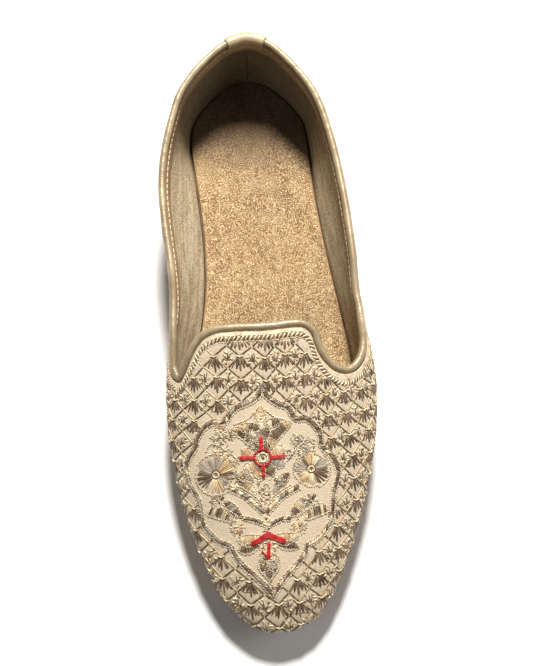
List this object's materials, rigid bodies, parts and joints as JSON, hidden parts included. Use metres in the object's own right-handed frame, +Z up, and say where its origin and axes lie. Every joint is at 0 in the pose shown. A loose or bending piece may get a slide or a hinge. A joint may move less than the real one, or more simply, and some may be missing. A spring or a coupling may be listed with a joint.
{
  "type": "mojari shoe",
  "caption": "Left mojari slip-on: embroidered cloth upper open at the collar, piped edge, plush inside, flat leather sole and low heel.",
  "frame": {"origin": "middle of the shoe's box, on the floor that it stands on", "axes": "+Y towards the heel, +X towards the outer side of the foot, +Z up"},
  "size_m": [0.101, 0.2914, 0.0621],
  "materials": {
    "sole_leather": "smooth tan leather, matt",
    "heel_leather": "stacked brown leather, matt",
    "plush": "short golden pile with a soft sheen",
    "upper_cloth": "champagne silk cloth under metallic thread embroidery",
    "trim_leather": "champagne gold leather with a soft metallic shine",
    "thread": "metallic and silk embroidery thread, satin"
  },
  "bodies": {
    "root": {"outsole": "sole_leather", "heel_lift": "heel_leather", "insole": "plush", "upper": "upper_cloth", "piping": "trim_leather", "heel_tab": "trim_leather"}
  },
  "joints": []
}
